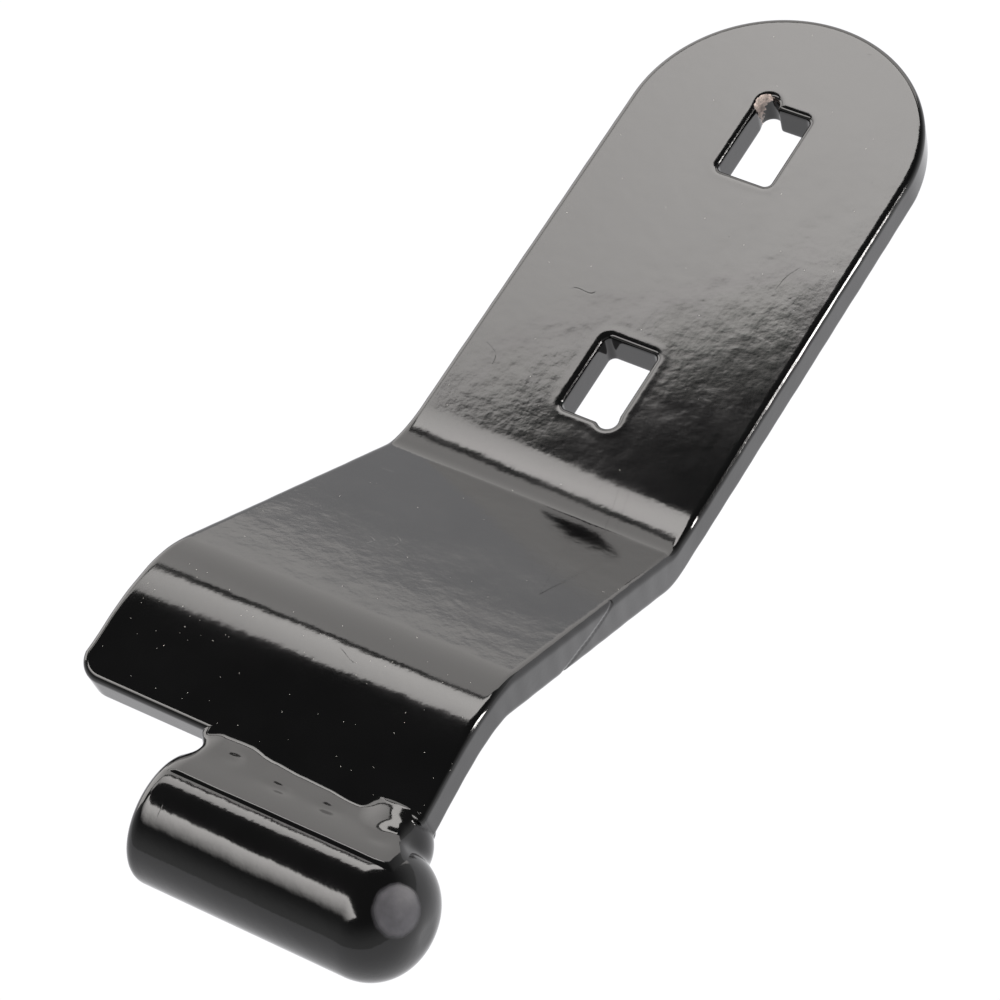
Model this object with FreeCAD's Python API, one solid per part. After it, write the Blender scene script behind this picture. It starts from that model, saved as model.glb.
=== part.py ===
import FreeCAD, Part
import math
import os

# Joggled gate-latch bracket: a flat steel strap with two square-neck bolt slots, bent up and then
# down again, with a round striker bar welded to its lower end. Everything is in millimetres.
#
# Frame: the origin lies on the back face of the pad, midway between the two bolt slots.
# +Z is the pad's normal, away from the face it is bolted to, so the joggle rises towards +Z.
# +Y runs along the pad towards its round end. +X is the side the striker bar sticks out on.

V = FreeCAD.Vector

# strap
THICKNESS = 9.8            # 3/8 in plate with its coat of paint
PAD_WIDTH = 76.2           # 3 in bar stock
SLOT_PITCH = 76.2          # centre to centre of the two bolt slots
SLOT_TO_ROUND = 1.8        # upper slot centre to the centre of the round end
SLOT_TO_BEND = 34.5        # lower slot centre to the apex of the first bend
RISE_LENGTH = 92.6         # along the slope, from bend apex to bend apex
TOE_LENGTH = 31.7          # from the apex of the second bend to the cut end
WIDTH_AT_KNEE = 87.2       # strap width at the second bend: the slope flares
WIDTH_AT_TOE = 89.0        # strap width at the cut end
FLARE_START = 5.0          # the flare starts this far up the pad from the first bend's apex
EASE_RADIUS = 40.0         # eases the outline where the flare starts and ends
EAR_CORNER_RADIUS = 6.0    # the free corner of the toe
EDGE_ROUND = 1.6           # paint-filled rounding of the strap's long edges

# bolt slots, for the square necks of 1/2 in carriage bolts
SLOT_WIDTH = 14.3
SLOT_LENGTH = 22.2
SLOT_CORNER_RADIUS = 1.6
SLOT_RIM_ROUND = 0.9       # paint-filled rounding where the slots meet the two faces

# bends: (radius of the top face, angle in degrees), in order from the pad to the toe
HEEL_BEND = [(40.0, 12.0), (9.0, 24.0)]      # concave on top: a soft lead-in, then a tight crease
KNEE_BEND = [(27.0, 25.0), (54.0, 17.0)]     # convex on top: tight first, then easing off

# striker bar
BAR_DIAMETER = 29.6
BAR_LENGTH = 66.0
BAR_OVERHANG = 10.2        # past the strap's edge on the +X side
BAR_RISE = 6.1             # the bar's crown stands this far above the strap's top face
DOME_RADIUS = 12.4         # rounding of the +X end
BAR_CHAMFER = 1.0          # at the sawn -X end
ROOT_GAP = 4.2             # opening left between the bar and the strap's lower corner for the weld

# weld
WELD_LAP = 1.0             # the bead's upper toe, measured back from the strap's cut end
WELD_TOE_ANGLE = 17.0      # lower toe on the bar, in degrees from the bar's crown
WELD_CROWN = 0.4           # how far the bead bulges above a straight line between its toes
WELD_WANDER = [-1.5, 1.2, 1.4, 0.4, -0.1, -0.2, 0.3, 1.0, -1.0]   # change of lap, from -X to +X
UNDER_LEG = 8.0            # leg of the fillet weld on the underside
UNDER_TOE_ANGLE = 108.0    # its toe on the bar, in degrees from the bar's crown
UNDER_CROWN = 1.0
RETURN_REACH = 1.8         # how far the return bead stands off the strap's edge
RETURN_RADIUS = 8.8
RETURN_RISE = 1.5          # its centre above the strap's lower corner
WELD_START_IN = 1.4        # the beads start this far in from the bar's sawn end
WELD_SINK = 3.0            # beads are drawn this deep into the steel, then trimmed to its faces
ROOT_ANGLE = 80.0          # where the root of both beads meets the bar, from the bar's crown

NEAR = 0.01                # how close an edge must lie to a line to count as on it


def setback(bend):
    """Distances from the bend's apex to the start and the end of its arcs, along each flat."""
    across, up, heading = 0.0, 0.0, 0.0
    for radius, degrees in bend:
        turned = heading + math.radians(degrees)
        across += radius * (math.sin(turned) - math.sin(heading))
        up += radius * (math.cos(heading) - math.cos(turned))
        heading = turned
    after = up / math.sin(heading)
    return across - after * math.cos(heading), after


def trace(start, steps):
    """Edges in the YZ plane from (y, z). A step is ('line', length) or ('arc', radius, degrees).
    Heading 0 runs towards -Y. A positive angle turns upwards."""
    edges = []
    y, z = start
    heading = 0.0
    for step in steps:
        if step[0] == "line":
            y2 = y - step[1] * math.cos(heading)
            z2 = z + step[1] * math.sin(heading)
            edges.append(Part.LineSegment(V(0, y, z), V(0, y2, z2)).toShape())
        else:
            radius, turn = step[1], math.radians(step[2])
            side = 1.0 if turn > 0 else -1.0

            def on_arc(angle):
                dy = side * radius * (math.sin(angle) - math.sin(heading))
                dz = side * radius * (math.cos(heading) - math.cos(angle))
                return V(0, y - dy, z + dz)
            middle, end = on_arc(heading + turn / 2), on_arc(heading + turn)
            edges.append(Part.Arc(V(0, y, z), middle, end).toShape())
            y2, z2 = end.y, end.z
            heading += turn
        y, z = y2, z2
    return edges, (y, z), heading


# the strap's side profile, as two offset lines and the square-cut end between them
upper_slot_y = SLOT_PITCH / 2
lower_slot_y = -SLOT_PITCH / 2
round_end_y = upper_slot_y + SLOT_TO_ROUND
pad_end_y = round_end_y + PAD_WIDTH / 2
heel_y = lower_slot_y - SLOT_TO_BEND
heel_before, heel_after = setback(HEEL_BEND)
knee_before, knee_after = setback(KNEE_BEND)


def profile_steps(lift):
    """Steps for the line that lies lift above the back face."""
    below_top = THICKNESS - lift
    steps = [("line", pad_end_y - heel_y - heel_before)]
    steps += [("arc", radius + below_top, degrees) for radius, degrees in HEEL_BEND]
    steps += [("line", RISE_LENGTH - heel_after - knee_before)]
    steps += [("arc", radius - below_top, -degrees) for radius, degrees in KNEE_BEND]
    steps += [("line", TOE_LENGTH - knee_after)]
    return steps


top_edges, top_end, toe_heading = trace((pad_end_y, THICKNESS), profile_steps(THICKNESS))
back_edges, back_end, _ = trace((pad_end_y, 0.0), profile_steps(0.0))
cut_end = Part.LineSegment(V(0, *top_end), V(0, *back_end)).toShape()
pad_end = Part.LineSegment(V(0, pad_end_y, 0), V(0, pad_end_y, THICKNESS)).toShape()
side_face = Part.Face(Part.Wire(Part.sortEdges(top_edges + back_edges + [cut_end, pad_end])[0]))
margin = 5.0
slab = side_face.extrude(V(WIDTH_AT_TOE + 2 * margin, 0, 0))
slab.translate(V(-WIDTH_AT_TOE / 2 - margin, 0, 0))

# the strap's outline seen from above
rise_angle = math.radians(sum(degrees for _, degrees in HEEL_BEND))
knee_y = heel_y - RISE_LENGTH * math.cos(rise_angle)
toe_y = min(top_end[0], back_end[0])
half_pad, half_knee, half_toe = PAD_WIDTH / 2, WIDTH_AT_KNEE / 2, WIDTH_AT_TOE / 2
flare_y = heel_y + FLARE_START
beyond_y = toe_y - margin
half_beyond = half_toe + (half_toe - half_knee) * (toe_y - beyond_y) / (knee_y - toe_y)
right_side = [V(half_pad, round_end_y, 0), V(half_pad, flare_y, 0), V(half_knee, knee_y, 0),
              V(half_beyond, beyond_y, 0)]
left_side = [V(-p.x, p.y, 0) for p in reversed(right_side)]


def eased(corners):
    """Straight runs through the corners, with each inner corner eased by an arc."""
    edges, start = [], corners[0]
    for before, corner, after in zip(corners, corners[1:], corners[2:]):
        back, on = (before - corner).normalize(), (after - corner).normalize()
        turn = math.pi - back.getAngle(on)
        if turn > math.radians(1):
            cut = EASE_RADIUS * math.tan(turn / 2)
            centre = corner + (back + on).normalize() * (EASE_RADIUS / math.cos(turn / 2))
            first, last = corner + back * cut, corner + on * cut
            middle = centre + (corner - centre).normalize() * EASE_RADIUS
            edges.append(Part.LineSegment(start, first).toShape())
            edges.append(Part.Arc(first, middle, last).toShape())
            start = last
    edges.append(Part.LineSegment(start, corners[-1]).toShape())
    return edges


across = Part.LineSegment(right_side[-1], left_side[0]).toShape()
outline = eased(right_side) + [across] + eased(left_side)
round_end = Part.Arc(left_side[-1], V(0, pad_end_y, 0), right_side[0]).toShape()
outline_face = Part.Face(Part.Wire(outline + [round_end]))
height = top_end[1] + 4 * THICKNESS
strap = slab.common(outline_face.extrude(V(0, 0, height)).translated(V(0, 0, -THICKNESS)))


def slot_cutter(y):
    """A rounded rectangular hole through the pad."""
    block = Part.makeBox(SLOT_WIDTH, SLOT_LENGTH, 3 * THICKNESS)
    block.translate(V(-SLOT_WIDTH / 2, y - SLOT_LENGTH / 2, -THICKNESS))
    upright = [e for e in block.Edges if abs(e.tangentAt(e.FirstParameter).z) > 0.9]
    return block.makeFillet(SLOT_CORNER_RADIUS, upright)


for slot_y in (upper_slot_y, lower_slot_y):
    strap = strap.cut(slot_cutter(slot_y))
strap = strap.Solids[0]


def is_through(edge):
    """True for an edge that runs straight from one face of the strap to the other."""
    ends = [vertex.Point for vertex in edge.Vertexes]
    return len(ends) == 2 and abs(edge.Length - THICKNESS) < NEAR and ends[0].distanceToPoint(
        ends[1]) > edge.Length - NEAR


def strap_rim(solid):
    """The edges where the strap's top and back faces meet its side walls and its cut end."""
    border = Part.Wire(outline + [round_end])
    rim = []
    for edge in solid.Edges:
        middle = edge.valueAt((edge.FirstParameter + edge.LastParameter) / 2)
        points = [vertex.Point for vertex in edge.Vertexes] + [middle]
        on_side = all(Part.Vertex(p.x, p.y, 0).distToShape(border)[0] < NEAR for p in points)
        on_cut = all(p.y < back_end[0] + NEAR for p in points)
        if (on_side or on_cut) and not is_through(edge):
            rim.append(edge)
    return rim


def slot_rim(solid):
    """The edges where the pad's two faces meet the slots."""
    reach_x, reach_y = SLOT_WIDTH / 2 + NEAR, (SLOT_PITCH + SLOT_LENGTH) / 2 + NEAR
    boxes = [(edge, edge.BoundBox) for edge in solid.Edges]
    return [edge for edge, box in boxes if box.ZLength < NEAR
            and max(-box.XMin, box.XMax) < reach_x and max(-box.YMin, box.YMax) < reach_y]


ear_corner = [e for e in strap.Edges if is_through(e) and e.BoundBox.XMax < 0
              and e.BoundBox.YMin < back_end[0] + NEAR]
strap = strap.makeFillet(EAR_CORNER_RADIUS, ear_corner)
strap = strap.makeFillet(EDGE_ROUND, strap_rim(strap))
strap = strap.makeFillet(SLOT_RIM_ROUND, slot_rim(strap))


# the striker bar: its crown stands a little above the strap's top face at the cut end
bar_radius = BAR_DIAMETER / 2
bar_z = top_end[1] + BAR_RISE - bar_radius
reach = bar_radius + ROOT_GAP
bar_y = back_end[0] - math.sqrt(reach ** 2 - (back_end[1] - bar_z) ** 2)
bar_right = half_toe + BAR_OVERHANG
bar_left = bar_right - BAR_LENGTH
bar = Part.makeCylinder(bar_radius, BAR_LENGTH, V(bar_left, bar_y, bar_z), V(1, 0, 0))
dome_rim = [e for e in bar.Edges if e.BoundBox.XMin > bar_right - NEAR]
bar = bar.makeFillet(DOME_RADIUS, dome_rim)
sawn_rim = [e for e in bar.Edges if e.BoundBox.XMax < bar_left + NEAR]
bar = bar.makeChamfer(BAR_CHAMFER, sawn_rim)


def on_bar(degrees, radius):
    """A point in the YZ plane at this angle from the bar's crown, towards the strap."""
    angle = math.radians(degrees)
    return bar_y + radius * math.sin(angle), bar_z + radius * math.cos(angle)


def on_toe(corner, back_off, depth):
    """A point back_off up the toe from a corner of its cut end and depth into the plate."""
    cos_h, sin_h = math.cos(toe_heading), math.sin(toe_heading)
    return (corner[0] + back_off * cos_h - depth * sin_h,
            corner[1] - back_off * sin_h - depth * cos_h)


def bead_section(x, strap_toe, bar_toe, strap_root, bar_root, root, crown):
    """A closed outline at x: a bulging face between two toes, and buried lines to the root."""
    a, b = V(x, *strap_toe), V(x, *bar_toe)
    chord = b - a
    outward = V(0, -chord.z, chord.y).normalize()
    if outward.dot((a + b) / 2 - V(x, *root)) < 0:
        outward = -outward
    face = Part.Arc(a, (a + b) / 2 + outward * crown, b).toShape()
    buried = Part.makePolygon([b, V(x, *bar_root), V(x, *root), V(x, *strap_root), a])
    return Part.Wire([face] + buried.Edges)


def largest(shape):
    return max(shape.Solids, key=lambda solid: solid.Volume)


bead_left = bar_left + WELD_START_IN
bead_right = half_toe - EDGE_ROUND / 2
stations = len(WELD_WANDER)
root_point = on_bar(ROOT_ANGLE, bar_radius + ROOT_GAP / 2)

top_sections, under_sections = [], []
for i, wander in enumerate(WELD_WANDER):
    x = bead_left + (bead_right - bead_left) * i / (stations - 1)
    at_end = i in (0, stations - 1)
    lap = WELD_LAP + wander
    top_sections.append(bead_section(
        x, on_toe(top_end, lap, 0), on_bar(WELD_TOE_ANGLE, bar_radius),
        on_toe(top_end, lap, WELD_SINK), on_bar(WELD_TOE_ANGLE, bar_radius - WELD_SINK),
        root_point, WELD_CROWN / 2 if at_end else WELD_CROWN))
    under_sections.append(bead_section(
        x, on_toe(back_end, UNDER_LEG + wander / 2, 0), on_bar(UNDER_TOE_ANGLE, bar_radius),
        on_toe(back_end, UNDER_LEG + wander / 2, -WELD_SINK),
        on_bar(UNDER_TOE_ANGLE, bar_radius - WELD_SINK), root_point, UNDER_CROWN))
return_bead = Part.makeSphere(RETURN_RADIUS, V(
    half_toe + RETURN_REACH - RETURN_RADIUS, back_end[0] - ROOT_GAP, back_end[1] + RETURN_RISE))
return_bead = largest(return_bead.cut(strap).cut(bar))
top_bead = largest(Part.makeLoft(top_sections, True).cut(strap).cut(bar).cut(return_bead))
under_bead = Part.makeLoft(under_sections, True).cut(strap).cut(bar)
under_bead = largest(under_bead.cut(return_bead).cut(top_bead))

pieces = {
    "strap": strap,
    "striker_bar": bar,
    "weld_top": top_bead,
    "weld_under": under_bead,
    "weld_return": return_bead,
}
os.makedirs("parts", exist_ok=True)
for name, shape in pieces.items():
    shape.exportStep("parts/" + name + ".step")
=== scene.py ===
import math

import bmesh
import bpy
import numpy as np
from bpy.props import FloatProperty, FloatVectorProperty, IntProperty, PointerProperty
from mathutils import Matrix, Vector
from mathutils.geometry import delaunay_2d_cdt


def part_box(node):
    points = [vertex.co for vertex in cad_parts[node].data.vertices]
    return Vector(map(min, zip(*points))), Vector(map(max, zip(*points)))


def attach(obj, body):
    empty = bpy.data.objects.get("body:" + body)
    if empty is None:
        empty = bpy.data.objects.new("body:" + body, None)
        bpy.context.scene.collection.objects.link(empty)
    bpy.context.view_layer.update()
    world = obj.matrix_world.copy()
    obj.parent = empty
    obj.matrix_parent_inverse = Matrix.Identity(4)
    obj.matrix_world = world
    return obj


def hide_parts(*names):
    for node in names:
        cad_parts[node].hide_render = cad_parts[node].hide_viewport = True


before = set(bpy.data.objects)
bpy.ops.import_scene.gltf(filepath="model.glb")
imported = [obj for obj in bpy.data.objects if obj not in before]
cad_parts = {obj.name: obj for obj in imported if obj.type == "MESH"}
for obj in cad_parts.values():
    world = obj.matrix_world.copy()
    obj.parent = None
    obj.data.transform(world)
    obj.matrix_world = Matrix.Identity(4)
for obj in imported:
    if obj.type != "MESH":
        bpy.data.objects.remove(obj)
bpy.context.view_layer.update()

bl_info = {
    "name": "Welded gate latch bracket",
    "version": (1, 0, 0),
    "blender": (4, 5, 0),
    "location": "3D View > Sidebar > Latch",
    "description": "Builds the painted strap, striker bar and weld beads of a gate latch bracket",
    "category": "Add Mesh",
}

MM = 0.001
BODY = "root"

# bends of the strap's top line, from the pad to the toe: (radius in mm, angle in degrees)
HEEL_BEND = ((54.0, 12.0), (9.0, 24.0))
KNEE_BEND = ((27.0, -25.0), (54.0, -17.0))
# the flare starts this far up the pad from the first bend, and is eased over this length, in mm
FLARE_START, FLARE_EASE = 5.0, 2.0
# radii of the bolt slots' corners, and of the toe's corner beside the bar's domed end, in mm
SLOT_CORNER, FOOT_CORNER = 1.6, 2.2
# for each slot: its side of the pad's middle, its lead-in's centre from its own, and the lead-in's radius
LEAD_INS = ((1, (-4.9, -11.2), 2.6), (-1, (5.0, 9.6), 2.5))
# spacing of the points that fill the strap's faces, and their least gap to an edge, in mm
FILL_STEP, BEND_STEP, FILL_GAP = 1.6, 0.55, 0.7
# a line left in the paint on the strap's right wall, as (s, depth) of its two ends
SEAM_TOP = (185.0, 0.6)
SEAM_FOOT = (206.5, 9.4)
# how far the weld's upper edge wanders up the toe, from the bar's sawn end to its domed end, in mm
WELD_WANDER = (-1.2, 1.1, 1.35, 0.3, -0.2, -0.4, -0.9, -0.7, -0.2)
# the beads sit this far inside their field, so their skins end under the steel's faces, in mm
SKIN_INSET = 0.07
# hollows in the weld's face: x, y, half-widths along x and y, depth, in mm
BEAD_HOLLOWS = (
    (1.0, -183.1, 3.2, 1.6, 0.305),
    (13.6, -185.3, 3.8, 1.4, 0.325),
    (25.2, -184.8, 3.0, 1.5, 0.33),
    (39.6, -187.2, 2.4, 1.2, 0.24),
    (40.8, -183.6, 1.8, 0.8, 0.14),
)
# layers of relief in the enamel, fine to slow: noise scale, detail, share of the peel's height
PEEL_LAYERS = ((520.0, 2.0, 0.75), (210.0, 3.0, 2.6), (60.0, 2.0, 5.5))
# a painted reflection on the bar's domed nose: a grey disc standing in for the floor's reflection there,
# with duller roughness: middle and radius in metres, and colour
REFLECTION_DISC_PLACE, REFLECTION_DISC_RADIUS, REFLECTION_DISC_COLOUR = (0.05156, -0.19859, 0.06274), 0.0052, (0.14, 0.136, 0.15)
# the camera's place in metres, and its right and down directions in the frame
EYE = (0.36523, -0.45021, 0.75621)
EYE_RIGHT = (0.84771, 0.50180, -0.17203)
EYE_DOWN = (0.33997, -0.76287, -0.54995)
# half the floor's side, in metres, and the colours of the light from the panels and the floor
FLOOR_REACH = 6.0
PANEL_TINT, FLOOR_TINT = (1.0, 0.97, 0.945), (0.985, 0.98, 1.0)


def box_mm(node):
    """Lowest and highest corner of a CAD node, in mm."""
    low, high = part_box(node)
    return np.array(low) / MM, np.array(high) / MM


# ---------------------------------------------------------------- settings

def length(name, description, default, **limits):
    """A setting in metres."""
    return FloatProperty(name=name, description=description, default=default, unit="LENGTH",
                         **limits)


class StrapSettings(bpy.types.PropertyGroup):
    thickness: length("Thickness", "Plate with its coat of paint", 0.0098, min=0.002)
    pad_width: length("Pad width", "Width of the flat pad", 0.0762)
    rise_length: length("Rise length", "Along the slope, from bend to bend", 0.0926)
    toe_length: length("Toe length", "From the second bend to the cut end", 0.0317)
    knee_width: length("Knee width", "Strap width at the second bend", 0.0872)
    toe_width: length("Toe width", "Strap width at the cut end", 0.089)
    slot_pitch: length("Slot pitch", "Centre to centre of the two bolt slots", 0.0762)
    slot_to_bend: length("Slot to bend", "Lower slot centre to the first bend", 0.0345)
    slot_width: length("Slot width", "Across the square neck", 0.0143)
    slot_length: length("Slot length", "Along the pad", 0.0222)
    slot_rim: length("Slot rim", "Paint-filled rounding round the slots", 0.0012)
    edge_round: length("Edge round", "Paint-filled rounding of the long edges", 0.0016)
    ear_corner: length("Ear corner", "Radius of the free corner of the toe", 0.006)


class BarSettings(bpy.types.PropertyGroup):
    dome_radius: length("Dome radius", "Rounding of the free end", 0.0124)
    land_radius: length("End land", "Small flat on the tip of the dome", 0.0026)
    end_round: length("End round", "Rounding of the sawn end", 0.0032)
    sides: IntProperty(name="Sides", description="Facets round the bar", default=144, min=24)
    wave: length("Paint wave", "Height of the slow waves in the paint", 0.00002, precision=5)


class WeldSettings(bpy.types.PropertyGroup):
    lap: length("Lap", "Upper edge of the bead, up the toe from the cut end", -0.0007)
    join_angle: FloatProperty(
        name="Join angle", description="Where the bead meets the bar, from its crown",
        default=math.radians(27.0), subtype="ANGLE")
    end_gap: length("End gap", "From the bar's sawn end to the start of the bead", 0.0006)
    blend: length("Blend", "How softly the bead flows into the steel", 0.0005)
    cell: length("Cell", "Size of the mesh cells", 0.00042)


class PaintSettings(bpy.types.PropertyGroup):
    colour: FloatVectorProperty(
        name="Paint colour", description="Gloss enamel", subtype="COLOR", size=3,
        default=(0.0006, 0.0006, 0.0007), min=0.0, max=1.0)
    bare_colour: FloatVectorProperty(
        name="Chipped colour", description="Primer and scale where the paint has come off",
        subtype="COLOR", size=3, default=(0.72, 0.6, 0.54), min=0.0, max=1.0)
    roughness: FloatProperty(
        name="Roughness", description="Of the enamel", default=0.075, min=0.0, max=1.0)
    peel: length("Orange peel", "Height of the fine ripple in the enamel", 0.000009, precision=6)
    specks: FloatProperty(
        name="Dust specks", description="Specks per square metre of upper face",
        default=26000.0, min=0.0)


class StageSettings(bpy.types.PropertyGroup):
    floor_level: length("Floor level", "Height of the floor", -0.26)
    floor_glow: FloatProperty(
        name="Floor glow", description="How bright the lit floor is", default=1.04, min=0.0)
    lens: FloatProperty(name="Lens", description="Focal length in mm", default=142.5)


# ---------------------------------------------------------------- mesh helpers

def new_piece(name, points, faces):
    """A smooth closed mesh object from points in mm, in the frame's place."""
    mesh = bpy.data.meshes.new(name)
    mesh.from_pydata((np.asarray(points) * MM).tolist(), [], [list(map(int, f)) for f in faces])
    mesh.validate()
    # close the slivers that the face filling leaves open
    work = bmesh.new()
    work.from_mesh(mesh)
    bmesh.ops.holes_fill(work, edges=[e for e in work.edges if e.is_boundary], sides=0)
    bmesh.ops.recalc_face_normals(work, faces=work.faces)
    work.to_mesh(mesh)
    work.free()
    mesh.polygons.foreach_set("use_smooth", np.ones(len(mesh.polygons), bool))
    mesh.update()
    return place_piece(name, mesh)


def place_piece(name, mesh):
    """Puts a finished mesh in the scene."""
    if not mesh.polygons:
        raise RuntimeError(f"{name} came out with no faces")
    piece = bpy.data.objects.new(name, mesh)
    bpy.context.scene.collection.objects.link(piece)
    return piece


def settle(piece, slot_name, *nodes, material=None):
    """The finished piece gets its finish, rides on the one body and stands for its CAD nodes."""
    piece.data.materials.clear()
    finish = material or slot_name.replace("paint", "enamel")
    piece.data.materials.append(bpy.data.materials[finish])
    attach(piece, BODY)
    if nodes:
        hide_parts(*nodes)


def ring_faces(first, second):
    """Quads between two closed rings of point numbers."""
    count = len(first)
    return [(first[i], first[(i + 1) % count], second[(i + 1) % count], second[i])
            for i in range(count)]


def wall_path(over_face, radius, turns, levels, thick):
    """(offset, depth) pairs over the top face, round its edge, down the wall and round again."""
    top = [(offset, 0.0) for offset in over_face]
    top += [(radius * (1 - math.sin(a)), radius * (1 - math.cos(a)))
            for a in np.linspace(0.0, math.pi / 2, turns)]
    wall = [(0.0, depth) for depth in np.linspace(radius, thick - radius, levels)[1:-1]]
    return top + wall + [(offset, thick - depth) for offset, depth in reversed(top)]


def inside_loop(points, loop):
    """For each 2D point, whether it lies inside the closed loop."""
    x, y = points[:, 0], points[:, 1]
    hit = np.zeros(len(points), bool)
    for (x1, y1), (x2, y2) in zip(loop, np.roll(loop, -1, axis=0)):
        if y1 == y2:
            continue
        crosses = (y1 > y) != (y2 > y)
        hit ^= crosses & (x < (x2 - x1) * (y - y1) / (y2 - y1) + x1)
    return hit


def gap_to_loop(points, loop):
    """Distance from each 2D point to the nearest corner of the loop."""
    best = np.full(len(points), 1e9)
    for corner in loop:
        best = np.minimum(best, np.hypot(points[:, 0] - corner[0], points[:, 1] - corner[1]))
    return best


# ---------------------------------------------------------------- the strap's shape

class StrapShape:
    """Maps the flat strap to its bent place. Flat points are (x, s): across, and along the top
    face from the round end of the pad. Everything is in mm."""

    def __init__(self, settings):
        self.thickness = settings.thickness / MM
        self.half_pad = settings.pad_width / MM / 2
        self.half_knee = settings.knee_width / MM / 2
        self.half_toe = settings.toe_width / MM / 2
        low, high = box_mm("strap")
        self.end_y = high[1]
        self.round_y = self.end_y - self.half_pad
        self.heel_y = -(settings.slot_pitch / 2 + settings.slot_to_bend) / MM
        before, after = self.setback(HEEL_BEND)
        knee_before, knee_after = self.setback(KNEE_BEND)
        runs = [(self.end_y - self.heel_y - before, 0.0)]
        runs += [(radius * math.radians(abs(turn)), math.radians(turn)) for radius, turn in HEEL_BEND]
        runs += [(settings.rise_length / MM - after - knee_before, 0.0)]
        runs += [(radius * math.radians(abs(turn)), math.radians(turn)) for radius, turn in KNEE_BEND]
        runs += [(settings.toe_length / MM - knee_after, 0.0)]
        self.starts = np.concatenate([[0.0], np.cumsum([length for length, _ in runs])])
        self.length = self.starts[-1]
        self.table_s = np.linspace(0.0, self.length, 12001)
        turn_at = np.concatenate([[0.0], np.cumsum([turn for _, turn in runs])])
        self.table_h = np.interp(self.table_s, self.starts, turn_at)
        step = self.table_s[1]
        middle = (self.table_h[1:] + self.table_h[:-1]) / 2
        self.table_y = self.end_y - np.concatenate([[0.0], np.cumsum(np.cos(middle) * step)])
        self.table_z = self.thickness + np.concatenate([[0.0], np.cumsum(np.sin(middle) * step)])
        rise = turn_at[3]
        self.knee_y = self.heel_y - settings.rise_length / MM * math.cos(rise)
        self.toe_y = self.table_y[-1]

    @staticmethod
    def setback(bend):
        """Distances from the bend's apex to the start and the end of its arcs."""
        across, up, heading = 0.0, 0.0, 0.0
        for radius, degrees in bend:
            turned = heading + math.radians(abs(degrees))
            across += radius * (math.sin(turned) - math.sin(heading))
            up += radius * (math.cos(heading) - math.cos(turned))
            heading = turned
        after = up / math.sin(heading)
        return across - after * math.cos(heading), after

    def half_width(self, y):
        """Half the strap's width at y, with the start and end of the flare eased."""
        flare_y = self.heel_y + FLARE_START
        slope = (self.half_knee - self.half_pad) / (flare_y - self.knee_y)
        end_slope = (self.half_toe - self.half_knee) / (self.knee_y - self.toe_y)

        def ramp(t):
            return FLARE_EASE * np.logaddexp(0.0, np.clip(t / FLARE_EASE, -60.0, 60.0))
        return (self.half_pad + slope * ramp(flare_y - y)
                + (end_slope - slope) * ramp(self.knee_y - y))

    def line(self, s):
        """y, z and heading of the top line at s."""
        return (np.interp(s, self.table_s, self.table_y), np.interp(s, self.table_s, self.table_z),
                np.interp(s, self.table_s, self.table_h))

    def place(self, x, s, depth):
        """The bent place of a flat point at this depth below the top face."""
        y, z, heading = self.line(s)
        y_at = y - depth * np.sin(heading)
        wide = np.where(y > self.round_y, 1.0, self.half_width(y_at) / self.half_width(y))
        return np.stack([x * wide, y_at, z - depth * np.cos(heading)], axis=-1)

    def at_y(self, y):
        """The flat distance s of a place y on the top line."""
        return np.interp(-y, -self.table_y, self.table_s)

    def rows(self, first, last):
        """Flat distances between two limits: close together in the bends, wide on the flats."""
        values, s = [], first
        bends = [(self.starts[1] - 2, self.starts[3] + 2), (self.starts[4] - 2, self.starts[6] + 2)]
        while s < last:
            values.append(s)
            s += BEND_STEP if any(a < s < b for a, b in bends) else FILL_STEP
        return np.array(values)

    def outline(self, ear_radius, corner_radius):
        """The flat outline as a closed loop of points, with outward normals."""
        points = []
        for angle in np.linspace(0.0, math.pi / 2, 72, endpoint=False):
            points.append((self.half_pad * math.sin(angle),
                           self.half_pad * (1 - math.cos(angle))))
        right = self.side_rows(self.half_pad, self.length - corner_radius, True)
        points += [(float(self.half_width(self.line(s)[0])), s) for s in right]
        for radius, side in ((corner_radius, 1), (ear_radius, -1)):
            centre = (side * (self.half_toe - radius), self.length - radius)
            sweep = np.linspace(0.0, math.pi / 2, 14)[1:-1]
            arc = [(centre[0] + side * radius * math.cos(a), centre[1] + radius * math.sin(a))
                   for a in sweep]
            if side > 0:
                points += arc
                across = np.linspace(self.half_toe - corner_radius,
                                     ear_radius - self.half_toe, 80)
                points += [(x, self.length) for x in across]
            else:
                points += arc[::-1]
        left = self.side_rows(self.half_pad, self.length - ear_radius, False)[::-1]
        points += [(-float(self.half_width(self.line(s)[0])), s) for s in left]
        for angle in np.linspace(math.pi / 2, 0.0, 73)[1:-1]:
            points.append((-self.half_pad * math.sin(angle),
                           self.half_pad * (1 - math.cos(angle))))
        loop = np.array(points)
        along = np.roll(loop, -1, axis=0) - np.roll(loop, 1, axis=0)
        along /= np.linalg.norm(along, axis=1)[:, None]
        return loop, np.stack([along[:, 1], -along[:, 0]], axis=-1)

    def side_rows(self, first, last, seam):
        """Rows along a side of the strap, closer together where the seam line runs."""
        rows = self.rows(first, last)
        if seam:
            s_low, s_high = SEAM_TOP[0] - 4.0, SEAM_FOOT[0] + 4.0
            rows = np.concatenate([rows[rows < s_low], np.arange(s_low, s_high, 0.22),
                                   rows[rows > s_high]])
        return rows


# ---------------------------------------------------------------- the bolt slots

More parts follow.
